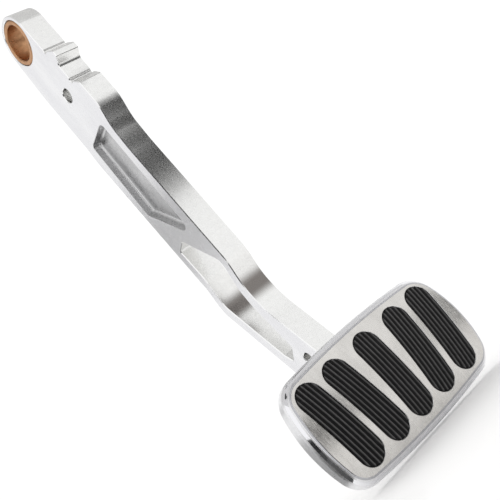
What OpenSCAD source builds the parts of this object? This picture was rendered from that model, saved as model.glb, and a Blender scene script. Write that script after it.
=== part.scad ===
// Hanging foot pedal: a plate arm on a bronze pivot bush, with a curved foot pad of
// five rubber inserts that tilts on a clamped cross bolt.
// X runs along the pivot, the foot pad looks to -Y and the arm hangs down -Z.
// The origin is the centre of the pivot bore.

/* [Arm] */
// Thickness of the arm plate
arm_t = 14.3; // [12:0.1:18]
// Depth of the shallow pocket in each face
pocket_depth = 5; // [2:0.5:5.5]
// Diameter of the link pin hole below the pivot
link_hole_d = 8; // [6:0.5:10]
// Diameter of the spare cross hole above the foot pad
cross_hole_d = 6; // [4:0.5:7]

/* [Pivot] */
// Outer radius of the pivot boss
boss_r = 14.8; // [14.4:0.1:14.8]
// Outside diameter of the bronze bush
bush_od = 25.4; // [24:0.2:26]
// Bore of the bronze bush
bush_id = 19.8; // [16:0.2:21]

/* [Foot pad] */
// Width of the foot pad
pad_w = 114.8; // [114:0.2:120]
// Height of the foot pad
pad_h = 62.2; // [61:0.2:66]
// Thickness of the foot pad at the middle
pad_t = 9; // [8.5:0.5:12]
// Radius of the face's curve from top to bottom
face_r = 190; // [150:10:400]
// Angle by which the face looks up
pad_lean = 3.25; // [2:0.25:4]
// Width of the bevel round the face
bevel = 3; // [1:0.5:3]

/* [Rubber inserts] */
// Width of an insert
insert_w = 14.6; // [12:0.1:14.8]
// Length of an insert
insert_l = 48.2; // [44:0.2:49]
// Height of the rubber above the face
insert_proud = 0.9; // [0.3:0.1:2]

/* [Tilt hinge] */
// Diameter of the cross bolt
bolt_d = 8; // [6:0.5:8]
// Thickness of each clevis lug
lug_t = 5; // [4:0.5:6]

/* [Hidden] */
$fn = 96;
eps = 0.05;
fit_gap = 0.05;
// front edge of the arm, from the pivot down: y, z and corner radius
ARM_FRONT = [
    [-14.8, 1, 0], [-15, -20.2, 0.4], [-21.2, -25.4, 1.6], [-21.3, -29.1, 1], [-16.3, -32, 3],
    [-16, -42, 0.4], [-21.1, -47.6, 1.8], [-21.1, -63, 22], [-16.4, -76, 28], [-15.4, -90, 60],
    [-15.4, -166.5, 30], [-11.6, -180.5, 35], [-11.6, -194.8, 54], [-23.2, -228.5, 10],
    [-23.2, -261.5, 9.8]
];
// rear edge of the arm, from the foot up
ARM_REAR = [
    [-5.4, -261.5, 9.8], [21.2, -181.5, 22], [18.7, -166, 25], [19.3, -75.5, 30],
    [17.9, -63, 30], [17.4, -28, 60], [14.65, 1.6, 0]
];
// relief grooves at the feet of the two raised lands on the front edge
GROOVES = [[-16, -20.2], [-16.1, -42]];
groove_r = 1.5;
// shallow pocket and open window, y, z and corner radius
POCKET = [[-10.6, -68, 3.5], [-8, -144.8, 3.4], [14.8, -115.6, 3], [11.8, -67.8, 3]];
WINDOW = [
    [5.6, -140.8, 1.8], [-9.7, -162.4, 4], [-9.7, -167.5, 8], [-5.6, -180.8, 15], [-5.2, -191, 40],
    [-8.2, -219, 1], [-1, -224.6, 0.8], [2.4, -219.4, 0.8], [15.8, -180, 12], [13.2, -162, 20],
    [13.8, -142.4, 1.8]
];
LINK_HOLE = [-3.3, -42.3];
CROSS_HOLE = [-13.2, -228.4];
TILT_AXIS = [-13.4, -251.6];
// centre of the foot pad's face at the crown of its curve
PAD_POS = [8.8, -37.2, -259];
end_r = 72;
edge_r = 500;
corner_r = 14;
rim = 2.6;
plate_t = 3;
flange_t = 1.5;
flange_lip = 0.8;
slot_gap = 0.1;
INSERT_X = [-39.6, -20.7, 0, 20.7, 39.6];
INSERT_LEAN = [7.4, 7.4, 0, -7.4, -7.4];
SCREW_AT = [[-51.2, 2], [51.2, 2], [-47.8, -19.5], [47.8, -19.5], [-11.8, 19], [11.8, 19]];
screw_d = 3;
screw_head_d = 5.6;
screw_l = 7;
bush2_r = 5.5;
thrust_t = 0.5;
thrust_r = 8.6;
lug_r = 9.5;
lug_in = arm_t / 2 + fit_gap + thrust_t;
lug_out = lug_in + lug_t;
washer_t = 1.6;
washer_r = 8;
nut_af = 13;
nut_h = 6.5;
// tilt axis seen from the foot pad: up its face, and behind the crown
tilt_dy = TILT_AXIS[0] - PAD_POS[1];
tilt_dz = TILT_AXIS[1] - PAD_POS[2];
TILT_LOCAL = [
    tilt_dy * sin(pad_lean) + tilt_dz * cos(pad_lean),
    -tilt_dy * cos(pad_lean) + tilt_dz * sin(pad_lean)
];

// ---- outlines ----

function unit(v) = v / norm(v);

// points of the arc of radius r that rounds corner b between its neighbours a and c
function round_corner(a, b, c, r) =
    let (
        u = unit(a - b),
        v = unit(c - b),
        half = acos(u * v) / 2,
        centre = b + unit(u + v) * r / sin(half),
        from = b + u * r / tan(half) - centre,
        to = b + v * r / tan(half) - centre,
        start = atan2(from[1], from[0]),
        raw = atan2(to[1], to[0]) - start,
        sweep = raw > 180 ? raw - 360 : raw < -180 ? raw + 360 : raw,
        steps = max(2, ceil(abs(sweep) / 9))
    )
    [for (i = [0 : steps]) centre + r * [cos(start + sweep * i / steps), sin(start + sweep * i / steps)]];

// outline through corners given as x, y and radius
function rounded(pts) = [
    for (i = [0 : len(pts) - 1])
        let (
            n = len(pts),
            a = pts[(i + n - 1) % n],
            b = pts[i],
            c = pts[(i + 1) % n],
            flat = [b[0], b[1]]
        )
        each b[2] == 0 ? [flat] : round_corner([a[0], a[1]], flat, [c[0], c[1]], b[2])
];

// one quarter of the pad outline: end arc, corner arc and long-edge arc, all tangent
function pad_quarter(a, b, corner) =
    let (
        end_c = [a - end_r, 0],
        edge_c = [0, b - edge_r],
        gap = norm(end_c - edge_c),
        r1 = end_r - corner,
        r2 = edge_r - corner,
        along = (gap * gap + r1 * r1 - r2 * r2) / (2 * gap),
        across = sqrt(r1 * r1 - along * along),
        dir = (edge_c - end_c) / gap,
        mid = end_c + dir * along,
        corner_c = mid + across * [-dir[1], dir[0]],
        a1 = atan2(corner_c[1] - end_c[1], corner_c[0] - end_c[0]),
        a2 = atan2(corner_c[1] - edge_c[1], corner_c[0] - edge_c[0])
    )
    concat(
        [for (i = [0 : 5]) end_c + end_r * [cos(a1 * i / 6), sin(a1 * i / 6)]],
        [for (i = [0 : 8]) let (t = a1 + (a2 - a1) * i / 8) corner_c + corner * [cos(t), sin(t)]],
        [for (i = [1 : 6]) let (t = a2 + (90 - a2) * i / 6) edge_c + edge_r * [cos(t), sin(t)]]
    );

module pad_outline(inset) {
    quarter = pad_quarter(pad_w / 2 - inset, pad_h / 2 - inset, corner_r - inset);
    last = len(quarter) - 1;
    polygon(concat(
        quarter,
        [for (i = [1 : last]) [-quarter[last - i][0], quarter[last - i][1]]],
        [for (i = [1 : last]) -quarter[i]],
        [for (i = [1 : last - 1]) [quarter[last - i][0], -quarter[last - i][1]]]
    ));
}

module capsule(w, l) {
    square([w, l - w], center = true);
    for (s = [-1, 1]) translate([0, s * (l - w) / 2]) circle(d = w);
}

// ---- placing ----

// extrude a y, z outline along X, centred on the arm
module plate_x(t) {
    rotate([90, 0, 90]) linear_extrude(t, center = true) children();
}

module rod_x(at, r, length, x = 0) {
    translate([x, at[0], at[1]]) rotate([0, 90, 0]) cylinder(r = r, h = length, center = true);
}

// foot pad frame: X along the pad, Y up the face, Z out of the face
module on_pad() {
    translate(PAD_POS) rotate([90 - pad_lean, 0, 0]) children();
}

module at_insert(i) {
    translate([INSERT_X[i], 0, 0]) rotate([0, 0, INSERT_LEAN[i]]) children();
}

// solid under the curved face, raised by the given height
module under_face(raise) {
    r = face_r + raise;
    translate([0, 0, raise - r]) rotate([0, 90, 0]) cylinder(r = r, h = pad_w + 20, center = true, $fn = 360);
}

// ---- arm ----

module pedal_arm() {
    color([0.82, 0.82, 0.83]) difference() {
        union() {
            plate_x(arm_t) polygon(rounded(concat(ARM_FRONT, ARM_REAR)));
            rod_x([0, 0], boss_r, arm_t);
        }
        rod_x([0, 0], bush_od / 2, arm_t + 1);
        rod_x(LINK_HOLE, link_hole_d / 2, arm_t + 1);
        rod_x(CROSS_HOLE, cross_hole_d / 2, arm_t + 1);
        rod_x(TILT_AXIS, bush2_r, arm_t + 1);
        for (g = GROOVES) rod_x(g, groove_r, arm_t + 1);
        plate_x(arm_t + 1) polygon(rounded(WINDOW));
        for (s = [-1, 1]) translate([s * arm_t / 2, 0, 0]) plate_x(2 * pocket_depth) polygon(rounded(POCKET));
    }
}

module pivot_bushing() {
    color([0.74, 0.52, 0.32]) difference() {
        rod_x([0, 0], bush_od / 2, arm_t);
        rod_x([0, 0], bush_id / 2, arm_t + 1);
    }
}

module tilt_bushing() {
    color([0.74, 0.52, 0.32]) difference() {
        rod_x(TILT_AXIS, bush2_r, arm_t);
        rod_x(TILT_AXIS, bolt_d / 2 + fit_gap, arm_t + 1);
    }
}

// ---- foot pad ----

// the pad's block, up to a curved surface and inside an outline
module pad_block(inset, raise) {
    intersection() {
        translate([0, 0, -pad_t]) linear_extrude(pad_t + 2) pad_outline(inset);
        under_face(raise);
    }
}

module pad_plate() {
    color([0.8, 0.79, 0.77]) on_pad() difference() {
        intersection() {
            under_face(0);
            hull() {
                pad_block(0, -bevel);
                pad_block(bevel + 1, 1);
            }
        }
        translate([0, 0, -pad_t - 1]) linear_extrude(plate_t + 1) pad_outline(rim);
        for (i = [0 : 4]) at_insert(i) {
            translate([0, 0, -pad_t]) linear_extrude(pad_t + 1) capsule(insert_w + 2 * slot_gap, insert_l + 2 * slot_gap);
            translate([0, 0, -pad_t]) linear_extrude(plate_t + flange_t)
                capsule(insert_w + 2 * flange_lip, insert_l + 2 * flange_lip);
        }
        for (p = SCREW_AT) translate([p[0], p[1], -pad_t]) cylinder(d = screw_d, h = screw_l);
    }
}

module rubber_insert(i) {
    inset = 2 * slot_gap;
    color([0.12, 0.12, 0.12]) on_pad() at_insert(i) {
        intersection() {
            translate([0, 0, plate_t - pad_t]) linear_extrude(pad_t) capsule(insert_w, insert_l);
            rotate([0, 0, -INSERT_LEAN[i]]) under_face(insert_proud);
        }
        translate([0, 0, plate_t - pad_t]) linear_extrude(flange_t)
            capsule(insert_w + 2 * flange_lip - inset, insert_l + 2 * flange_lip - inset);
    }
}

module pad_back_plate() {
    up = TILT_LOCAL[0];
    back = TILT_LOCAL[1];
    color([0.7, 0.7, 0.72]) on_pad() difference() {
        union() {
            translate([0, 0, -pad_t]) linear_extrude(plate_t) pad_outline(rim + fit_gap);
            for (s = [-1, 1]) translate([s * (lug_in + lug_out) / 2 - PAD_POS[0], 0, 0]) {
                plate_x(lug_t) polygon(rounded([
                    [up + 14, -pad_t - 2 + eps, 0], [up + 14, -pad_t - 4, 1], [up + lug_r - 1, back - 1, 0],
                    [up - lug_r + 1, back - 1, 0], [up - 16, -pad_t - 4, 1], [up - 16, -pad_t - 2 + eps, 0],
                    [up - 16, -pad_t + eps, 0], [up + 14, -pad_t + eps, 0]
                ]));
                rod_x([up, back], lug_r, lug_t);
            }
        }
        rod_x([up, back], bolt_d / 2, 60, -PAD_POS[0]);
        for (p = SCREW_AT) translate([p[0], p[1], -pad_t]) {
            translate([0, 0, -1]) cylinder(d = screw_d, h = plate_t + 2);
            translate([0, 0, -eps]) cylinder(d1 = screw_head_d + 2 * eps, d2 = screw_d, h = 1.7 + eps);
        }
    }
}

module back_plate_screws() {
    color([0.45, 0.45, 0.47]) on_pad() for (p = SCREW_AT) translate([p[0], p[1], -pad_t]) difference() {
        union() {
            cylinder(d1 = screw_head_d, d2 = screw_d, h = 1.7);
            cylinder(d = screw_d, h = screw_l - 1);
        }
        translate([0, 0, -1]) cylinder(d = 2.3, h = 2, $fn = 6);
    }
}

// ---- tilt hinge hardware ----

module thrust_washers() {
    color([0.74, 0.52, 0.32]) for (s = [-1, 1]) difference() {
        rod_x(TILT_AXIS, thrust_r, thrust_t, s * (lug_in - thrust_t / 2));
        rod_x(TILT_AXIS, bolt_d / 2, 60);
    }
}

module tilt_bolt() {
    head_h = 5;
    tip = lug_out + washer_t + nut_h + 1.5;
    seat = lug_out + washer_t;
    color([0.45, 0.45, 0.47]) difference() {
        union() {
            rod_x(TILT_AXIS, bolt_d / 2, tip + seat, (tip - seat) / 2);
            rod_x(TILT_AXIS, 6.5, head_h, -seat - head_h / 2);
        }
        translate([-seat - head_h, TILT_AXIS[0], TILT_AXIS[1]]) rotate([0, 90, 0])
            cylinder(d = 6.9, h = 6, center = true, $fn = 6);
    }
}

module bolt_washers() {
    color([0.7, 0.7, 0.72]) for (s = [-1, 1]) difference() {
        rod_x(TILT_AXIS, washer_r, washer_t, s * (lug_out + washer_t / 2));
        rod_x(TILT_AXIS, bolt_d / 2, 60);
    }
}

module lock_nut() {
    hex_h = nut_h - 1.5;
    seat = lug_out + washer_t;
    color([0.45, 0.45, 0.47]) difference() {
        union() {
            translate([seat, TILT_AXIS[0], TILT_AXIS[1]]) rotate([0, 90, 0])
                cylinder(r = nut_af / 2 / cos(30), h = hex_h, $fn = 6);
            rod_x(TILT_AXIS, nut_af / 2 - 0.7, nut_h, seat + nut_h / 2);
        }
        rod_x(TILT_AXIS, bolt_d / 2, 60);
    }
}

pedal_arm();
pivot_bushing();
tilt_bushing();
pad_plate();
rubber_insert(0);  // rubber_insert_1
rubber_insert(1);  // rubber_insert_2
rubber_insert(2);  // rubber_insert_3
rubber_insert(3);  // rubber_insert_4
rubber_insert(4);  // rubber_insert_5
pad_back_plate();
back_plate_screws();
thrust_washers();
tilt_bolt();
bolt_washers();
lock_nut();
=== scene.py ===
"""Looks of a hanging foot pedal: a milled plate arm on a bronze bush, with a tilting foot pad.

Lengths are written in millimetres and scaled by MM when they reach a mesh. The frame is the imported
part's own: X runs along the pivot, the foot pad looks to -Y, and the arm hangs down -Z.
"""

import bmesh
import bpy
import numpy as np
from mathutils import Matrix, Vector, geometry


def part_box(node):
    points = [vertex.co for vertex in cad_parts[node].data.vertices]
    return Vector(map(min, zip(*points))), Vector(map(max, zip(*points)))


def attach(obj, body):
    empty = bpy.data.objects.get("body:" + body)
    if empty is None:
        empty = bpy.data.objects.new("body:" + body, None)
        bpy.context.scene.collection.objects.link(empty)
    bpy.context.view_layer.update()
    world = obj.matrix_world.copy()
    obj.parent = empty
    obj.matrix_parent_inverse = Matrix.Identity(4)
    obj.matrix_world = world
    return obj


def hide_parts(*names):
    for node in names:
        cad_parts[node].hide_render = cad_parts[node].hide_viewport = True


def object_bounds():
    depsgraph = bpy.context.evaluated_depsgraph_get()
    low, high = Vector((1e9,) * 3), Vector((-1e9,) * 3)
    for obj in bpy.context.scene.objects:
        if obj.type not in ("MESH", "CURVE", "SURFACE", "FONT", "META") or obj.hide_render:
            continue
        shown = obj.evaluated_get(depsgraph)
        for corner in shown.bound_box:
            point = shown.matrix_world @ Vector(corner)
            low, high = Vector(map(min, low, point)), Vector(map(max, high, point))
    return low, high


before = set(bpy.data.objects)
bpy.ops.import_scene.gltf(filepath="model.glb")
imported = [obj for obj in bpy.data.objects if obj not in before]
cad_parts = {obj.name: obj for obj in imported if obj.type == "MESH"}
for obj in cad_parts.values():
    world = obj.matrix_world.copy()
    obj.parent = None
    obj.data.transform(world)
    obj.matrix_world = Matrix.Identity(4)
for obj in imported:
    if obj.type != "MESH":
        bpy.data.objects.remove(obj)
cad_low, cad_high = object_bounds()

# ---- Pedal arm ----
# One piece of billet aluminium plate, profiled and pocketed on a mill. Its two faces are rubbed to a
# satin, its edges keep the cutter's fine lines, and every rim is broken with a small bright chamfer.

MM = 0.001
TURN = 2 * np.pi
ARC_POINTS = 16
arm_half = 7.15
pocket_depth = 5.0
pocket_fillet = 1.7
pocket_step = 0.4
tightest_arc = 0.04
weld_gap = 2e-6
ARM_OUTLINE = [
    (-14.82, 1, 0.2), (-14.93, -18.7, 0.5), (-14.2, -19.9, 0.7), (-14.8, -21.7, 0.8),
    (-16.3, -21.3, 0.4), (-21.2, -25.4, 1.6), (-21.3, -29.1, 1), (-16.3, -32, 3),
    (-16.05, -40.6, 0.4), (-15.2, -41.6, 0.7), (-15.5, -43.4, 0.8), (-17.4, -43.6, 0.4),
    (-21.1, -47.6, 1.8), (-21.1, -63, 22), (-16.4, -76, 28), (-15.4, -90, 60),
    (-15.4, -166.5, 30), (-11.6, -180.5, 35), (-11.6, -194.8, 54), (-23.2, -228.5, 10),
    (-23.2, -261.5, 9.8), (-5.4, -261.5, 9.8), (21.2, -181.5, 22), (18.7, -166, 25),
    (19.3, -75.5, 30), (17.9, -63, 30), (17.4, -28, 60), (13.42, 14.8, 14.7), (-14.67, 14.8, 14.7),
]
POCKET = [(-10.6, -68, 3.5), (-8, -144.8, 3.4), (14.8, -115.6, 3), (11.8, -67.8, 3)]
WINDOW = [
    (5.6, -140.8, 1.8), (-9.7, -162.4, 4), (-9.7, -167.5, 8), (-5.6, -180.8, 15), (-5.2, -191, 40),
    (-8.2, -219, 1), (-1, -224.6, 0.8), (2.4, -219.4, 0.8), (15.8, -180, 12), (13.2, -162, 20),
    (13.8, -142.4, 1.8),
]
LINK_HOLE = (-3.3, -42.3, 4.0)
CROSS_HOLE = (-13.2, -228.4, 3.0)
TILT_BORE = (-13.4, -251.6, 5.5)
BUSH_BORE = (0.0, 0.0, 12.7)
FACE, EDGE, CHAMFER, POCKETED = 0, 1, 2, 3


def rounded(corners, inset=0.0):
    """Closed outline with arcs for corners: each edge moves inwards by inset, each corner's radius
    shrinks by inset where the outline turns left and grows where it turns right, and its points are
    centre + radius * (the first edge's normal turned from nothing to the corner's whole angle)."""
    table = np.array(corners, float)
    at, radius = table[:, :2], table[:, 2]
    into = at - np.roll(at, 1, axis=0)
    into /= np.linalg.norm(into, axis=1, keepdims=True)
    out = np.roll(into, -1, axis=0)
    left_in = np.stack([-into[:, 1], into[:, 0]], 1)
    left_out = np.roll(left_in, -1, axis=0)
    cosine = (into * out).sum(1)
    turn = np.arctan2(into[:, 0] * out[:, 1] - into[:, 1] * out[:, 0], cosine)
    side = np.where(turn < 0, -1.0, 1.0)
    corner = at + inset * (left_in + left_out) / (1 + cosine)[:, None]
    arc_r = np.maximum(radius - side * inset, tightest_arc)
    start = corner - into * (arc_r * np.tan(np.abs(turn) / 2))[:, None]
    centre = start + left_in * (side * arc_r)[:, None]
    angle = turn[:, None] * np.linspace(0, 1, ARC_POINTS)
    spoke = -(side * arc_r)[:, None, None] * left_in[:, None, :]
    x = spoke[..., 0] * np.cos(angle) - spoke[..., 1] * np.sin(angle)
    y = spoke[..., 0] * np.sin(angle) + spoke[..., 1] * np.cos(angle)
    return (centre[:, None, :] + np.stack([x, y], 2)).reshape(-1, 2)


def round_hole(place, inset=0.0, points=96):
    """Circle as a closed outline: centre + (radius - inset) * (cosine, sine) of an even turn."""
    angle = np.arange(points) * TURN / points
    return np.array(place[:2]) + (place[2] - inset) * np.stack([np.cos(angle), np.sin(angle)], 1)


def stood_up(loop, x):
    """A y, z outline placed at a height x along the pivot."""
    return np.column_stack([np.broadcast_to(x, len(loop)), loop])


class Shell:
    """A closed skin gathered from loops: walls are lofted between loops, caps fill flat regions."""

    def __init__(self):
        self.points, self.faces, self.kinds, self.count = [], [], [], 0

    def add(self, points, faces, kind):
        """Puts points and the faces that index them after those already gathered."""
        self.points.append(np.asarray(points, float))
        self.faces.append(np.asarray(faces, int) + self.count)
        self.kinds.append(np.full(len(faces), kind))
        self.count += len(points)

    def wall(self, loops, kind=FACE, closed=True, flip=False):
        """Quads between neighbouring loops: point (i, j) joins (i, j+1), (i+1, j+1) and (i+1, j)."""
        rings = np.stack(loops)
        rows, cols = rings.shape[:2]
        i, j = np.meshgrid(np.arange(rows - 1), np.arange(cols if closed else cols - 1), indexing="ij")
        k = (j + 1) % cols
        quads = np.stack([i * cols + j, i * cols + k, (i + 1) * cols + k, (i + 1) * cols + j], -1)
        quads = quads.reshape(-1, 4)
        self.add(rings.reshape(-1, 3), quads[:, ::-1] if flip else quads, kind)

    def cap(self, outer, holes=(), kind=FACE, flip=False):
        """Triangles that fill one flat loop, less its holes. They face the way of the loop's whole area,
        the sum of the cross products of its neighbouring points, which holds for any outline."""
        loops = [outer, *holes]
        tris = np.array(geometry.tessellate_polygon([[Vector(p) for p in loop] for loop in loops]))
        points = np.concatenate(loops)
        a, b, c = points[tris[:, 0]], points[tris[:, 1]], points[tris[:, 2]]
        normal = np.cross(b - a, c - a)
        area = np.linalg.norm(normal, axis=1)
        tris, normal = tris[area > 1e-9], normal[area > 1e-9]
        swept = np.cross(outer - outer[0], np.roll(outer, -1, axis=0) - outer[0]).sum(0)
        backwards = normal @ swept < 0
        tris[backwards] = tris[backwards][:, ::-1]
        self.add(points, tris[:, ::-1] if flip else tris, kind)

    def made(self, name, materials, sharp=28.0):
        """The finished object: doubles merged, faces turned outwards, and soft shading broken where
        faces meet at over sharp degrees."""
        mesh = bpy.data.meshes.new(name)
        faces = [face for block in self.faces for face in block.tolist()]
        mesh.from_pydata(np.concatenate(self.points) * MM, [], faces)
        for material in materials:
            mesh.materials.append(material)
        mesh.polygons.foreach_set("material_index", np.concatenate(self.kinds))
        mesh.polygons.foreach_set("use_smooth", np.ones(len(faces), bool))
        piece = bpy.data.objects.new(name, mesh)
        bpy.context.scene.collection.objects.link(piece)
        weld = bmesh.new()
        weld.from_mesh(mesh)
        bmesh.ops.remove_doubles(weld, verts=weld.verts, dist=weld_gap)
        bmesh.ops.recalc_face_normals(weld, faces=weld.faces)
        weld.to_mesh(mesh)
        weld.free()
        mesh.set_sharp_from_angle(angle=np.radians(sharp))
        return piece


class Finish:
    """A metal or rubber finish being put together from texture nodes on Object coordinates."""

    def __init__(self, name, colour, roughness, metallic=1.0, **sockets):
        self.material = bpy.data.materials.new(name)
        self.material.use_nodes = True
        self.nodes, self.links = self.material.node_tree.nodes, self.material.node_tree.links
        self.shader = self.nodes["Principled BSDF"]
        self.shader.inputs["Base Color"].default_value = (*colour, 1)
        self.shader.inputs["Roughness"].default_value = roughness
        self.shader.inputs["Metallic"].default_value = metallic
        for socket, value in sockets.items():
            self.shader.inputs[socket.replace("_", " ")].default_value = value
        self.where = self.nodes.new("ShaderNodeTexCoord").outputs["Object"]

    def noise(self, per_mm, detail=3.0, rough=0.55):
        """Noise of per_mm cycles a millimetre along X, Y and Z, so an uneven triple streaks it."""
        mapping = self.nodes.new("ShaderNodeMapping")
        mapping.inputs["Scale"].default_value = np.array(per_mm) / MM
        texture = self.nodes.new("ShaderNodeTexNoise")
        texture.inputs["Scale"].default_value = 1.0
        texture.inputs["Detail"].default_value = detail
        texture.inputs["Roughness"].default_value = rough
        self.links.new(self.where, mapping.inputs["Vector"])
        self.links.new(mapping.outputs["Vector"], texture.inputs["Vector"])
        return texture.outputs["Fac"]

    def ramp(self, value, low, high, at=(0.3, 0.7)):
        """The value spread from low to high between the two places; low and high are greys or colours."""
        ramp = self.nodes.new("ShaderNodeValToRGB")
        for stop, place, shade in zip(ramp.color_ramp.elements, at, (low, high)):
            stop.position = place
            stop.color = (*shade, 1) if np.ndim(shade) else (shade, shade, shade, 1)
        self.links.new(value, ramp.inputs["Fac"])
        return ramp.outputs["Color"]

    def bump(self, height, depth_mm):
        """Relief of the given depth from a height value, laid over any relief that is already there."""
        bump = self.nodes.new("ShaderNodeBump")
        bump.inputs["Distance"].default_value = depth_mm * MM
        bump.inputs["Strength"].default_value = 1.0
        self.links.new(height, bump.inputs["Height"])
        if self.shader.inputs["Normal"].links:
            self.links.new(self.shader.inputs["Normal"].links[0].from_socket, bump.inputs["Normal"])
        self.links.new(bump.outputs["Normal"], self.shader.inputs["Normal"])

    def painted_band(self, height, reach_mm, colour):
        """A soft band: the base colour fades to the given one towards a height along Z in millimetres."""
        level = self.nodes.new("ShaderNodeVectorMath")
        level.operation = "MULTIPLY"
        level.inputs[1].default_value = (0, 0, 1)
        self.links.new(self.where, level.inputs[0])
        distance = self.nodes.new("ShaderNodeVectorMath")
        distance.operation = "DISTANCE"
        distance.inputs[1].default_value = (0, 0, height * MM)
        self.links.new(level.outputs["Vector"], distance.inputs[0])
        near = self.nodes.new("ShaderNodeMapRange")
        near.interpolation_type = "SMOOTHERSTEP"
        near.inputs["From Min"].default_value = 0.15 * reach_mm * MM
        near.inputs["From Max"].default_value = reach_mm * MM
        near.inputs["To Min"].default_value = 1
        near.inputs["To Max"].default_value = 0
        self.links.new(distance.outputs["Value"], near.inputs["Value"])
        blend = self.nodes.new("ShaderNodeMix")
        blend.data_type = "RGBA"
        base = self.shader.inputs["Base Color"]
        self.links.new(near.outputs["Result"], blend.inputs["Factor"])
        clean, painted_band_input, blended = blend.inputs[6], blend.inputs[7], blend.outputs[2]
        self.links.new(base.links[0].from_socket, clean)
        painted_band_input.default_value = (*colour, 1)
        self.links.new(blended, base)

    def drive(self, socket, value):
        """Links a value to one of the shader's sockets."""
        self.links.new(value, self.shader.inputs[socket])


def satin_face():
    """Rubbed faces: soft cloudy shade and short grain along the arm."""
    finish = Finish("arm satin face", (0.8, 0.8, 0.815), 0.34)
    cloud = finish.noise((0.05, 0.12, 0.03))
    finish.drive("Base Color", finish.ramp(cloud, (0.76, 0.76, 0.78), (0.83, 0.83, 0.84)))
    finish.drive("Roughness", finish.ramp(finish.noise((0.6, 1.6, 0.4), 4), 0.2, 0.28))
    finish.bump(finish.noise((3.0, 4.5, 0.6), 3), 0.0012)
    return finish.material


# Height and reach of the painted dark reflection on the milled edges.
dark_reflection_z, dark_reflection_reach = -183.4, 9.5


def milled_edge():
    """Milled edges: close cutter lines across the plate, broken by a fine speckle, and a painted dark
    reflection, a dark band in the colour about the lower bend."""
    finish = Finish("arm milled edge", (0.84, 0.84, 0.83), 0.26)
    cloud = finish.noise((0.3, 0.6, 0.6))
    finish.drive("Base Color", finish.ramp(cloud, (0.8, 0.8, 0.79), (0.845, 0.845, 0.835)))
    finish.drive("Roughness", finish.ramp(finish.noise((1.2, 2.2, 2.2), 2), 0.225, 0.285))
    # Painted dark reflection: a dark band in the edge's colour about the lower bend.
    finish.painted_band(dark_reflection_z, dark_reflection_reach, (0.2, 0.185, 0.175))
    finish.bump(finish.noise((0.8, 3.0, 3.0), 2, 0.5), 0.0008)
    return finish.material


def milled_pocket():
    """Pocket: left as the cutter made it, greyer than the satin faces, with short streaks."""
    finish = Finish("arm milled pocket", (0.52, 0.52, 0.53), 0.3)
    cloud = finish.noise((0.2, 0.16, 0.08), 4)
    finish.drive("Base Color", finish.ramp(cloud, (0.55, 0.55, 0.555), (0.66, 0.66, 0.665)))
    finish.drive("Roughness", finish.ramp(finish.noise((0.6, 1.2, 1.2), 4), 0.24, 0.38))
    finish.bump(finish.noise((3.0, 3.0, 1.2), 3), 0.003)
    return finish.material


def bright_chamfer():
    """Chamfers: cut last, so the brightest and smoothest metal on the arm."""
    finish = Finish("arm bright chamfer", (0.92, 0.92, 0.92), 0.16)
    finish.drive("Roughness", finish.ramp(finish.noise((1.5, 1.5, 1.5)), 0.1, 0.24))
    return finish.material


rims = {
    "outline": lambda inset: rounded(ARM_OUTLINE, inset),
    "window": lambda inset: rounded(WINDOW, -inset),
    "pocket": lambda inset: rounded(POCKET, -inset),
    "bush": lambda inset: round_hole(BUSH_BORE, -inset, 128),
    "link": lambda inset: round_hole(LINK_HOLE, -inset),
    "cross": lambda inset: round_hole(CROSS_HOLE, -inset),
    "tilt": lambda inset: round_hole(TILT_BORE, -inset),
}
rim_cut = {
    "outline": 0.4, "window": 0.45, "pocket": 0.2, "bush": 0.3, "link": 0.4, "cross": 0.35, "tilt": 0.3,
}
arm = Shell()
for name, rim in rims.items():
    cut = rim_cut[name]
    chamfer_in = stood_up(rim(cut), -arm_half), stood_up(rim(0), -arm_half + cut)
    chamfer_out = stood_up(rim(0), arm_half - cut), stood_up(rim(cut), arm_half)
    inward = name != "outline"
    kind = POCKETED if name == "pocket" else CHAMFER
    arm.wall(chamfer_in, kind, flip=inward)
    arm.wall(chamfer_out, kind, flip=inward)
    if name != "pocket":
        arm.wall([chamfer_in[1], chamfer_out[0]], EDGE, flip=inward)
for side in (-1, 1):
    holes = [stood_up(rims[name](rim_cut[name]), side * arm_half) for name in rims if name != "outline"]
    arm.cap(stood_up(rims["outline"](rim_cut["outline"]), side * arm_half), holes, FACE, flip=side < 0)
    bend = np.linspace(0, TURN / 4, 8)
    inset = np.concatenate([[0, 0], pocket_fillet * (1 - np.cos(bend)), [pocket_fillet + pocket_step]])
    depth = np.concatenate([
        [rim_cut["pocket"], rim_cut["pocket"] + pocket_step],
        pocket_depth - pocket_fillet * (1 - np.sin(bend)), [pocket_depth],
    ])
    steps = [stood_up(rims["pocket"](-i), side * (arm_half - d)) for i, d in zip(inset, depth)]
    arm.wall(steps, POCKETED, flip=side < 0)
    arm.cap(steps[-1], (), POCKETED, flip=side < 0)
arm_piece = arm.made("arm_plate", [satin_face(), milled_edge(), bright_chamfer(), milled_pocket()])
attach(arm_piece, "arm")
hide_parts("pedal_arm")

# ---- Bushes and thrust washers ----
# Bronze rings pressed into the arm: a wide one for the pivot shaft, with a fine seam along its bore, and
# a narrow one for the cross bolt. A thin bronze washer turns each side of the arm's foot.

RING_STEPS = 128
bush_inner, bush_outer = 9.9, 12.42
seam_at, seam_reach = np.radians(118), np.radians(1.8)
seam_height = 0.04
foot_inner, foot_outer = 4.05, 5.48
washer_inner, washer_outer, washer_thick = 4.0, 8.6, 0.5


def turned(shell, profile, centre, steps=RING_STEPS, shape=None):
    """A closed profile of (x, radius) carried round the pivot's direction: the point at angle t is
    centre + radius * (cos t, sin t) in y and z. Shape may change the radius by the angle."""
    angle = np.arange(steps) * TURN / steps
    table = np.array(profile, float)
    x, radius = np.repeat(table[:, :1], steps, 1), np.repeat(table[:, 1:], steps, 1)
    if shape is not None:
        radius = shape(angle[None, :], radius)
    ring = np.stack([x, centre[0] + radius * np.cos(angle), centre[1] + radius * np.sin(angle)], 2)
    shell.wall(list(ring), FACE)


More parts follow.
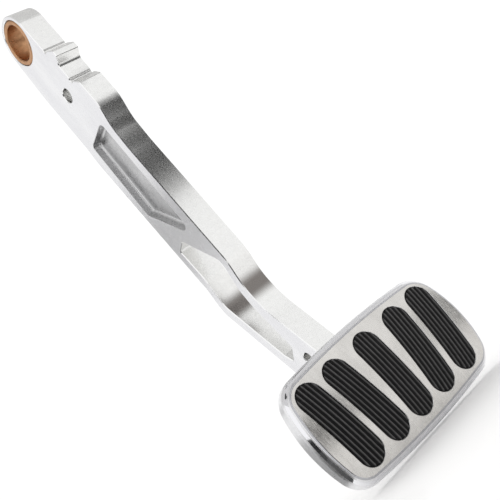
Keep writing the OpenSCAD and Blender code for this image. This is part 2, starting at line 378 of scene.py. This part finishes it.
def ring_profile(x0, x1, inner, outer, cut):
    """Profile of a plain ring with its four rims broken, from the bore's first rim round and back to it."""
    return [
        (x1 - cut, inner), (x0 + cut, inner), (x0, inner + cut), (x0, outer - cut), (x0 + cut, outer),
        (x1 - cut, outer), (x1, outer - cut), (x1, inner + cut), (x1 - cut, inner),
    ]


def bronze(name):
    """Porous bronze: warm brown, speckled by its pores, with faint streaks along the bore."""
    finish = Finish(name, (0.72, 0.44, 0.24), 0.34)
    cloud = finish.noise((0.5, 0.5, 0.5), 5, 0.7)
    finish.drive("Base Color", finish.ramp(cloud, (0.4, 0.215, 0.11), (0.58, 0.33, 0.18)))
    finish.drive("Roughness", finish.ramp(finish.noise((0.3, 1.4, 1.4), 4), 0.24, 0.44))
    finish.bump(finish.noise((4.0, 4.0, 4.0), 4, 0.7), 0.008)
    return finish.material


def seamed(angle, radius):
    """The pivot bush's seam: a low burr along the bore, falling straight to nothing each side."""
    near = np.clip(1 - np.abs(angle - seam_at) / seam_reach, 0, 1)
    return radius + np.where(radius < bush_inner + 0.1, -seam_height * near, 0)


bush = Shell()
turned(bush, ring_profile(-arm_half, arm_half, bush_inner, bush_outer, 0.45), (0, 0), steps=256, shape=seamed)
bush_piece = bush.made("pivot_bush_ring", [bronze("pivot bronze")])
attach(bush_piece, "arm")
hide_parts("pivot_bushing")

foot_bush = Shell()
turned(foot_bush, ring_profile(-arm_half, arm_half, foot_inner, foot_outer, 0.2), TILT_BORE[:2])
foot_bush_piece = foot_bush.made("foot_bush_ring", [bronze("foot bronze")])
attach(foot_bush_piece, "arm")
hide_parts("tilt_bushing")

washers_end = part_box("thrust_washers")[1].x / MM
thrust = Shell()
for side in (-1, 1):
    near, far = sorted((side * washers_end, side * (washers_end - washer_thick)))
    turned(thrust, ring_profile(near, far, washer_inner, washer_outer, 0.12), TILT_BORE[:2])
thrust_piece = thrust.made("thrust_washer_pair", [bronze("washer bronze")])
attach(thrust_piece, "pad")
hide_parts("thrust_washers")

# ---- Foot pad plate ----
# A thick aluminium plate with five slots. Its face is crowned from top to bottom and brushed, the middle
# of its wide bevel is polished like a mirror, and its back is hollowed for the plate behind the rubbers.

pad_lean = np.radians(3.25)
PAD_AT = np.array([8.8, -37.2, -259.0])
PAD_UP = np.array([0, np.sin(pad_lean), np.cos(pad_lean)])
PAD_OUT = np.array([0, -np.cos(pad_lean), np.sin(pad_lean)])
pad_half_w, pad_half_h, pad_t = 57.4, 31.1, 9.0
crown_r = 190.0
end_r, edge_r, corner_r = 72.0, 500.0, 14.0
bevel, bevel_fall, bevel_swell = 3.0, 3.25, 0.2
step_drop, step_half, step_mid = 0.42, 0.35, 0.26
wall_break = 0.4
back_rim, back_depth = 2.6, 3.0
screw_r, screw_deep = 1.5, 4.0
SLOT_X = (-39.6, -20.7, 0.0, 20.7, 39.6)
SLOT_LEAN = np.radians((7.4, 7.4, 0.0, -7.4, -7.4))
slot_w, slot_l, slot_cut = 14.8, 48.4, 0.3
SCREW_AT = ((-51.2, 2), (51.2, 2), (-47.8, -19.5), (47.8, -19.5), (-11.8, 19), (11.8, 19))
WALL, BEVEL, STEP = 1, 2, 3


def on_pad(flat, out):
    """Points of the pad: its centre + x * sideways + y * up the face + out * away from the face."""
    flat = np.asarray(flat, float)
    out = np.broadcast_to(out, flat.shape[:-1])
    return PAD_AT + flat[..., :1] * (1, 0, 0) + flat[..., 1:2] * PAD_UP + out[..., None] * PAD_OUT


def crown(flat):
    """Height of the crowned face: square root of (radius squared - y squared), less the radius."""
    return np.sqrt(crown_r**2 - np.asarray(flat)[..., 1] ** 2) - crown_r


def pad_outline(inset):
    """Closed outline of three tangent arcs a quarter: the end, the corner and the long edge. The
    corner's centre is where a circle about the end's centre meets one about the edge's centre."""
    end_c = np.array([pad_half_w - inset - end_r, 0])
    edge_c = np.array([0, pad_half_h - inset - edge_r])
    corner = corner_r - inset
    gap = np.linalg.norm(end_c - edge_c)
    along = (gap**2 + (end_r - corner) ** 2 - (edge_r - corner) ** 2) / (2 * gap)
    across = np.sqrt((end_r - corner) ** 2 - along**2)
    toward = (edge_c - end_c) / gap
    corner_c = end_c + toward * along + across * np.array([-toward[1], toward[0]])
    first = np.arctan2(*(corner_c - end_c)[::-1])
    second = np.arctan2(*(corner_c - edge_c)[::-1])
    arcs = (
        (end_c, end_r, np.linspace(0, first, 24)[:-1]),
        (corner_c, corner, np.linspace(first, second, 28)[:-1]),
        (edge_c, edge_r, np.linspace(second, TURN / 4, 28)),
    )
    quarter = np.concatenate([c + r * np.stack([np.cos(t), np.sin(t)], 1) for c, r, t in arcs])
    back = quarter[::-1]
    return np.concatenate([
        quarter, back[1:] * (-1, 1), quarter[1:] * (-1, -1), back[1:-1] * (1, -1),
    ])


def slot_outline(index, grow=0.0):
    """Slot with round ends, turned by its lean: half circles about the two ends of its middle line."""
    radius, reach = slot_w / 2 + grow, (slot_l - slot_w) / 2
    half = np.linspace(0, TURN / 2, 33)
    top = np.stack([radius * np.cos(half), reach + radius * np.sin(half)], 1)
    side = np.linspace(-1, 1, 24)[1:-1] * reach
    left = np.stack([np.full(len(side), -radius), side[::-1]], 1)
    loop = np.concatenate([top, left, -top, -left])
    lean = SLOT_LEAN[index]
    spin = np.array([[np.cos(lean), np.sin(lean)], [-np.sin(lean), np.cos(lean)]])
    return loop @ spin + (SLOT_X[index], 0)


def crowned_face(shell, outer, holes, kind):
    """The face between loops: a flat triangle net over the loops and a lattice, raised to the crown."""
    across, upwards, clear = np.arange(-56, 57, 2.0), np.arange(-30, 31, 2.0), 0.9
    lattice = np.stack(np.meshgrid(across, upwards), -1).reshape(-1, 2)
    keep = far_from(lattice, outer, clear)
    for hole in holes:
        keep &= far_from(lattice, hole, clear)
    loops = [outer, *holes]
    flat = np.concatenate([*loops, lattice[keep]])
    starts = np.cumsum([0, *map(len, loops)])
    edges = [(s + k, s + (k + 1) % len(l)) for s, l in zip(starts, loops) for k in range(len(l))]
    verts, _, tris, *_ = geometry.delaunay_2d_cdt([Vector(p) for p in flat], edges, [], 0, 1e-4)
    verts = np.array([tuple(v) for v in verts])
    tris = np.array(tris)
    middle = verts[tris].mean(1)
    solid = inside(middle, outer)
    for hole in holes:
        solid &= ~inside(middle, hole)
    shell.add(on_pad(verts, crown(verts)), tris[solid], kind)


def far_from(points, loop, distance):
    """Whether each point is further than distance from every point of the loop."""
    return np.linalg.norm(points[:, None] - loop[None], axis=2).min(1) > distance


def inside(points, loop):
    """Even-odd rule: a ray to the right crosses the loop an odd number of times."""
    a, b = loop[None], np.roll(loop, -1, axis=0)[None]
    x, y = points[:, :1], points[:, 1:]
    straddles = (a[..., 1] > y) != (b[..., 1] > y)
    rise = np.where(a[..., 1] == b[..., 1], 1.0, b[..., 1] - a[..., 1])
    crossing = a[..., 0] + (y - a[..., 1]) * (b[..., 0] - a[..., 0]) / rise
    return (straddles & (x < crossing)).sum(1) % 2 == 1


def brushed_face():
    """Brushed face: cloudy warm grey with short grain up the pad."""
    finish = Finish("pad brushed face", (0.78, 0.765, 0.745), 0.36)
    cloud = finish.noise((0.16, 0.1, 0.07), 5, 0.6)
    finish.drive("Base Color", finish.ramp(cloud, (0.595, 0.58, 0.557), (0.69, 0.675, 0.65)))
    finish.drive("Roughness", finish.ramp(finish.noise((1.4, 0.6, 0.3), 4), 0.2, 0.32))
    finish.bump(finish.noise((3.6, 1.6, 1.4), 4, 0.65), 0.0018)
    return finish.material


def satin_wall():
    """Outer wall and the bevel's two margins: plain satin, a little lighter than the face."""
    finish = Finish("pad satin wall", (0.82, 0.82, 0.83), 0.33)
    finish.drive("Roughness", finish.ramp(finish.noise((0.5, 0.5, 2.0), 4), 0.26, 0.4))
    finish.bump(finish.noise((1.0, 3.0, 3.0), 3), 0.006)
    return finish.material


def mirror_bevel():
    """The bevel's middle: buffed to a mirror, with faint haze."""
    finish = Finish("pad mirror bevel", (0.86, 0.86, 0.885), 0.07)
    finish.drive("Roughness", finish.ramp(finish.noise((0.8, 0.8, 0.8), 4), 0.04, 0.12))
    return finish.material


def cut_step():
    """The small step at the face's rim, straight from the cutter: its darker grey paints the step's thin
    shadow line.
    """
    finish = Finish("pad cut step", (0.5, 0.5, 0.52), 0.3)
    finish.drive("Roughness", finish.ramp(finish.noise((2.0, 2.0, 2.0), 4), 0.24, 0.4))
    return finish.material


def crowned_loop(inset, depth):
    """The pad's outline moved in by inset, lying depth under the crowned face."""
    flat = pad_outline(inset)
    return on_pad(flat, crown(flat) - depth)


def bevel_loop(t):
    """A line along the bevel, from its foot at t = 0 to its top at t = 1: straight between the two, but
    swollen outwards and upwards by a half sine."""
    swell = bevel_swell * np.sin(TURN / 2 * t)
    return crowned_loop(t * (bevel - step_half) - swell, bevel_fall * (1 - t) + step_drop * t - swell)


bevel_loops = [bevel_loop(t) for t in np.linspace(0, 1, 10)]
face_inset = bevel + 0.6
back_rim_loop = on_pad(pad_outline(0.0), -pad_t + wall_break)
pad = Shell()
pad.wall([back_rim_loop, crowned_loop(0.0, bevel + 0.9), crowned_loop(0.0, bevel_fall)], WALL)
pad.wall(bevel_loops[:4], WALL)
pad.wall(bevel_loops[3:8], BEVEL)
pad.wall(bevel_loops[7:], WALL)
pad.wall([
    crowned_loop(bevel - step_half, step_drop), crowned_loop(bevel + step_half, step_mid),
    crowned_loop(face_inset, 0.0),
], STEP)
face_slots = [slot_outline(i, slot_cut) for i in range(5)]
crowned_face(pad, pad_outline(face_inset), face_slots, FACE)
floor_out = -pad_t + back_depth
for index, loop in enumerate(face_slots):
    mouth = slot_outline(index)
    pad.wall([
        on_pad(loop, crown(loop)), on_pad(mouth, crown(mouth) - slot_cut), on_pad(mouth, floor_out),
    ], WALL)
recess = pad_outline(back_rim)
screw_holes = [round_hole((*at, screw_r), 0, 32) for at in SCREW_AT]
floor_openings = [slot_outline(i) for i in range(5)] + screw_holes
pad.cap(on_pad(recess, floor_out), [on_pad(loop, floor_out) for loop in floor_openings], WALL, flip=True)
for hole in screw_holes:
    pad.wall([on_pad(hole, floor_out), on_pad(hole, floor_out + screw_deep)], WALL, flip=True)
    pad.cap(on_pad(hole, floor_out + screw_deep), (), WALL, flip=True)
pad.wall([
    on_pad(recess, floor_out), on_pad(recess, -pad_t), on_pad(pad_outline(wall_break), -pad_t), back_rim_loop,
], WALL)
pad_piece = pad.made("foot_pad_plate", [brushed_face(), satin_wall(), mirror_bevel(), cut_step()], sharp=24.0)
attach(pad_piece, "pad")
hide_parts("pad_plate")

# ---- Rubber inserts ----
# Five moulded rubber strips pushed through the slots from behind. Six ribs run the length of each, and
# the strip's rim is rolled over where it meets the metal.

rubber_w, rubber_l = 14.6, 48.2
rubber_proud = 0.9
rib_count, rib_depth, rib_fade = 6, 1.25, 0.5
rim_roll = 0.9


def black_rubber():
    """Moulded black rubber: a fine matt skin with a random grey tone. Its colour also paints shade and
    highlight: near black in the grooves and grey on the ribs' crests, by a height the mesh stores."""
    finish = Finish("insert rubber", (0.009, 0.009, 0.0095), 0.5, metallic=0.0, Specular_IOR_Level=0.18)
    rib_height = finish.nodes.new("ShaderNodeAttribute")
    rib_height.attribute_name = "rib_height"
    tone_and_painted_light = finish.nodes.new("ShaderNodeMath")
    tone_and_painted_light.operation = "MULTIPLY_ADD"
    finish.links.new(finish.noise((0.5, 0.5, 0.5), 5), tone_and_painted_light.inputs[0])
    tone_and_painted_light.inputs[1].default_value = 0.3
    finish.links.new(rib_height.outputs["Fac"], tone_and_painted_light.inputs[2])
    # Painted shade in the grooves, painted highlight on the crests.
    groove, crest = (0.004, 0.004, 0.0042), (0.12, 0.118, 0.118)
    finish.drive("Base Color", finish.ramp(tone_and_painted_light.outputs["Value"], groove, crest, (0.45, 1.1)))
    finish.drive("Roughness", finish.ramp(finish.noise((0.8, 0.8, 0.8), 4), 0.4, 0.62))
    finish.bump(finish.noise((5.0, 5.0, 5.0), 4, 0.7), 0.03)
    return finish.material


def ribbed_strip(index):
    """One strip. Across it x = half width * sin(a), along it y = b * (the outline's height at x), so a
    line of constant a follows a rib and every line ends on the round end. The height is the crown plus
    the strip's stand, less a cosine rib and a quarter circle within rim_roll of the outline."""
    radius, reach = rubber_w / 2, (rubber_l - rubber_w) / 2
    a, b = np.meshgrid(np.linspace(-TURN / 4, TURN / 4, 121), np.linspace(-1, 1, 91))
    x = radius * np.sin(a)
    y = b * (reach + radius * np.cos(a))
    rim = radius - np.hypot(x, np.maximum(np.abs(y) - reach, 0))
    roll = rim_roll - np.sqrt(np.maximum(rim_roll**2 - np.clip(rim_roll - rim, 0, rim_roll) ** 2, 0))
    pitch = rubber_w / rib_count
    rib = rib_depth * (0.5 + 0.5 * np.cos(TURN * x / pitch)) ** 0.5
    cosine, sine = np.cos(SLOT_LEAN[index]), np.sin(SLOT_LEAN[index])
    flat = np.stack([x * cosine - y * sine + SLOT_X[index], x * sine + y * cosine], -1)
    top = on_pad(flat, crown(flat) + rubber_proud - roll - rib * np.clip(rim / rib_fade, 0, 1))
    strip = Shell()
    strip.wall(list(top), FACE, closed=False)
    border, top_border = (
        np.concatenate([net[0, :-1], net[:-1, -1], net[-1, :0:-1], net[:0:-1, 0]]) for net in (flat, top)
    )
    base = on_pad(border, floor_out)
    strip.wall([base, top_border], FACE)
    strip.cap(base, (), FACE, flip=True)
    return strip


def mark_rib_height(mesh):
    """How far each point stands up the ribs, 0 in a groove to 1 on a crest, to paint shade and highlight."""
    points = np.empty(3 * len(mesh.vertices))
    mesh.vertices.foreach_get("co", points)
    away = points.reshape(-1, 3) / MM - PAD_AT
    stand = away @ PAD_OUT - crown(np.stack([away[:, 0], away @ PAD_UP], 1))
    rib_height = mesh.attributes.new("rib_height", "FLOAT", "POINT")
    rib_height.data.foreach_set("value", np.clip(1 + (stand - rubber_proud) / rib_depth, 0, 1))


rubber = black_rubber()
for number in range(5):
    insert = ribbed_strip(number).made(f"ribbed_rubber_{number + 1}", [rubber], sharp=50.0)
    mark_rib_height(insert.data)
    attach(insert, "pad")
    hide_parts(f"rubber_insert_{number + 1}")

# ---- Back plate and screws ----
# A milled plate screwed into the pad's back with six countersunk screws. It traps the rubbers, and its
# two lugs carry the cross bolt.


def eased(node, body, name, material, width):
    """A CAD piece with its doubles merged, its flat regions joined and its sharp rims rounded."""
    piece = bpy.data.objects.new(name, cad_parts[node].data.copy())
    bpy.context.scene.collection.objects.link(piece)
    merged = bmesh.new()
    merged.from_mesh(piece.data)
    bmesh.ops.remove_doubles(merged, verts=merged.verts, dist=weld_gap)
    bmesh.ops.dissolve_limit(merged, angle_limit=np.radians(1.0), verts=merged.verts, edges=merged.edges)
    bmesh.ops.recalc_face_normals(merged, faces=merged.faces)
    merged.to_mesh(piece.data)
    merged.free()
    piece.data.materials.clear()
    piece.data.materials.append(material)
    piece.data.polygons.foreach_set("use_smooth", np.ones(len(piece.data.polygons), bool))
    round_over = piece.modifiers.new("round over", "BEVEL")
    round_over.width = width * MM
    round_over.segments = 2
    round_over.limit_method = "ANGLE"
    round_over.angle_limit = np.radians(35)
    round_over.harden_normals = True
    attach(piece, body)
    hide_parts(node)


def milled_back():
    """The back plate's milled skin: long cutter sweeps under a light satin."""
    finish = Finish("back plate milled", (0.72, 0.72, 0.735), 0.36)
    sweeps = finish.noise((0.08, 0.2, 0.2), 4)
    finish.drive("Base Color", finish.ramp(sweeps, (0.66, 0.66, 0.68), (0.78, 0.78, 0.79)))
    finish.drive("Roughness", finish.ramp(finish.noise((0.3, 2.0, 2.0), 4), 0.27, 0.45))
    finish.bump(finish.noise((0.5, 3.0, 3.0), 4), 0.01)
    return finish.material


def plated_steel(name, colour, roughness):
    """Zinc plate over steel: even grey, faintly mottled, duller in patches."""
    finish = Finish(name, colour, roughness)
    darker = tuple(0.8 * c for c in colour)
    finish.drive("Base Color", finish.ramp(finish.noise((0.4, 0.4, 0.4), 5), darker, colour))
    patches = finish.noise((0.9, 0.9, 0.9), 4)
    finish.drive("Roughness", finish.ramp(patches, roughness - 0.06, roughness + 0.1))
    finish.bump(finish.noise((3.0, 3.0, 3.0), 4), 0.01)
    return finish.material


eased("pad_back_plate", "pad", "back_plate_milled", milled_back(), 0.3)
screw_steel = plated_steel("screw plate", (0.45, 0.45, 0.46), 0.32)
eased("back_plate_screws", "pad", "countersunk_screws", screw_steel, 0.12)

# ---- Cross bolt, washers and nut ----
# The pad's tilt is set and held by one socket-head bolt through both lugs, on plain washers, with a
# locking nut whose collar stands past its hexagon.

bolt_steel = plated_steel("bolt plate", (0.5, 0.5, 0.52), 0.3)
washer_steel = plated_steel("washer plate", (0.62, 0.62, 0.63), 0.3)
nut_steel = plated_steel("nut plate", (0.52, 0.52, 0.53), 0.34)
eased("tilt_bolt", "pad", "cross_bolt", bolt_steel, 0.35)
eased("bolt_washers", "pad", "plain_washers", washer_steel, 0.15)
eased("lock_nut", "pad", "locking_nut", nut_steel, 0.3)

# ---- Studio ----
# A white floor just under the pad and a white cloth tent all round, with dark and grey cards set where
# the bright metal needs something to mirror. The camera looks up the pedal from below and to its left.

floor_z = cad_low.z / MM - 1.0


def panel(name, corners, shade):
    """One flat card of matt paper from its corners in millimetres."""
    mesh = bpy.data.meshes.new(name)
    mesh.from_pydata(np.array(corners, float) * MM, [], [range(len(corners))])
    mesh.materials.append(Finish(name, shade, 0.9, metallic=0.0).material)
    card = bpy.data.objects.new(name, mesh)
    bpy.context.scene.collection.objects.link(card)
    return card


floor_reach = 6000
panel(
    "floor",
    [(x * floor_reach, y * floor_reach, floor_z) for x, y in ((-1, -1), (1, -1), (1, 1), (-1, 1))],
    (0.97, 0.965, 0.96),
)


def mirrored_only(card):
    """Leaves a card to be seen in mirror-like metal alone: it blocks no light and never shows itself."""
    card.visible_camera = False
    card.visible_shadow = False
    card.visible_diffuse = False
    card.visible_transmission = False


def flag(name, centre, facing, wide, tall, shade=0.02):
    """An upright or tilted card about its centre: corners at centre +- half its width +- half its
    height, both square to the direction it faces."""
    out = Vector(facing).normalized()
    across = out.cross(Vector((0, 0, 1))).normalized() * wide / 2
    up = across.cross(out).normalized() * tall / 2
    middle = Vector(centre)
    corners = [middle - across - up, middle + across - up, middle + across + up, middle - across + up]
    mirrored_only(panel(name, corners, (shade, shade, shade)))


flag("arm flag", (40, -78, -77), (-0.5, 0.86, 0), 60, 28)
flag("arm flag upper part", (40, -78, -56), (-0.5, 0.86, 0), 60, 14, 0.4)
flag("arm flag lower part", (40, -78, -97), (-0.5, 0.86, 0), 60, 12, 0.35)
flag("rim flag", (-57, -48, -115), (0.83, 0.55, -0.15), 22, 104, 0.05)
flag("block low flag", (7, -32, -38), (-0.45, 0.74, 0.5), 16, 7)
flag("left pad flag", (28, -168, -245), (-0.48, 0.87, -0.1), 60, 46, 0.16)
flag("wall flag", (-97, 37, -271), (0.54, -0.84, 0), 60, 40, 0.5)
flag("right pad flag", (165, -147, -247), (-0.68, 0.73, -0.1), 60, 58, 0.28)
flag("side flag", (-400, -224, -249), (0.88, 0.47, 0), 420, 86)
flag("face flag", (-450, 780, 70), (0.5, -0.87, 0), 900, 170, 0.62)


def laid_flag(name, corners, height, shade):
    """A card lying flat at a height, given by its corners' x and y."""
    mirrored_only(panel(name, [(x, y, height) for x, y in corners], (shade, shade, shade)))


laid_flag("far floor flag", [(-150, 0), (-560, 40), (-560, -600), (-150, -200)], floor_z + 0.3, 0.02)
laid_flag("near floor flag", [(-54, -36), (-150, 0), (-150, -200), (-50, -88)], floor_z + 0.3, 0.06)
laid_flag("rear floor flag", [(-52, -30), (-260, -20), (-260, 300), (-40, 200)], floor_z + 0.4, 0.32)
laid_flag("ceiling", [(-700, -700), (900, -700), (900, 700), (-700, 700)], 600, 0.66)

tent_r, tent_steps = 8000, 64


def tent_loop(latitude):
    """One level ring of the tent, a part of a sphere: radius * (cos lat cos t, cos lat sin t, sin lat)."""
    t = np.arange(tent_steps) * TURN / tent_steps
    level = np.full(tent_steps, np.sin(latitude))
    return tent_r * np.column_stack([np.cos(latitude) * np.cos(t), np.cos(latitude) * np.sin(t), level])


tent = Shell()
tent.wall([tent_loop(latitude) for latitude in np.linspace(-0.1, TURN / 4, 24)], flip=True)
glow = {"Emission_Color": (1, 1, 1, 1), "Emission_Strength": 1.04}
cloth = Finish("lit cloth", (0, 0, 0), 1.0, metallic=0.0, **glow).material
cloth.cycles.emission_sampling = "NONE"
tent_piece = tent.made("light tent", [cloth])
tent_piece.visible_diffuse = False
tent_piece.visible_shadow = False

world = bpy.data.worlds.new("studio")
bpy.context.scene.world = world
world.use_nodes = True
world.node_tree.nodes["Background"].inputs["Strength"].default_value = 0.0


def sky_light(name, down, spread, level):
    """A distant soft light shining along down. It lights white paper to the given level, and the metal
    doesn't mirror it, because the tent is already there."""
    light = bpy.data.lights.new(name, "SUN")
    light.angle = np.radians(spread)
    light.energy = level * np.pi
    lamp = bpy.data.objects.new(name, light)
    lamp.rotation_euler = Vector(down).to_track_quat("-Z", "Y").to_euler()
    lamp.visible_glossy = False
    bpy.context.scene.collection.objects.link(lamp)


sky_light("overhead fill", (0, 0, -1), 170, 0.74)
sky_light("back key", (0.3, -0.42, -0.86), 85, 0.42)

camera_data = bpy.data.cameras.new("camera")
camera_data.lens = 58.32
camera_data.sensor_width = 36.0
camera_data.clip_start = 0.01
camera = bpy.data.objects.new("camera", camera_data)
right, up, forward = (0.6817, -0.3315, -0.6522), (0.4898, -0.4555, 0.7434), (0.5435, 0.8262, 0.1481)
turned_view = Matrix((right, up, [-c for c in forward])).transposed().to_4x4()
turned_view.translation = Vector((-213.65, -351.64, -229.07)) * MM
camera.matrix_world = turned_view
bpy.context.scene.collection.objects.link(camera)
bpy.context.scene.camera = camera
bpy.context.scene.view_settings.view_transform = "Standard"
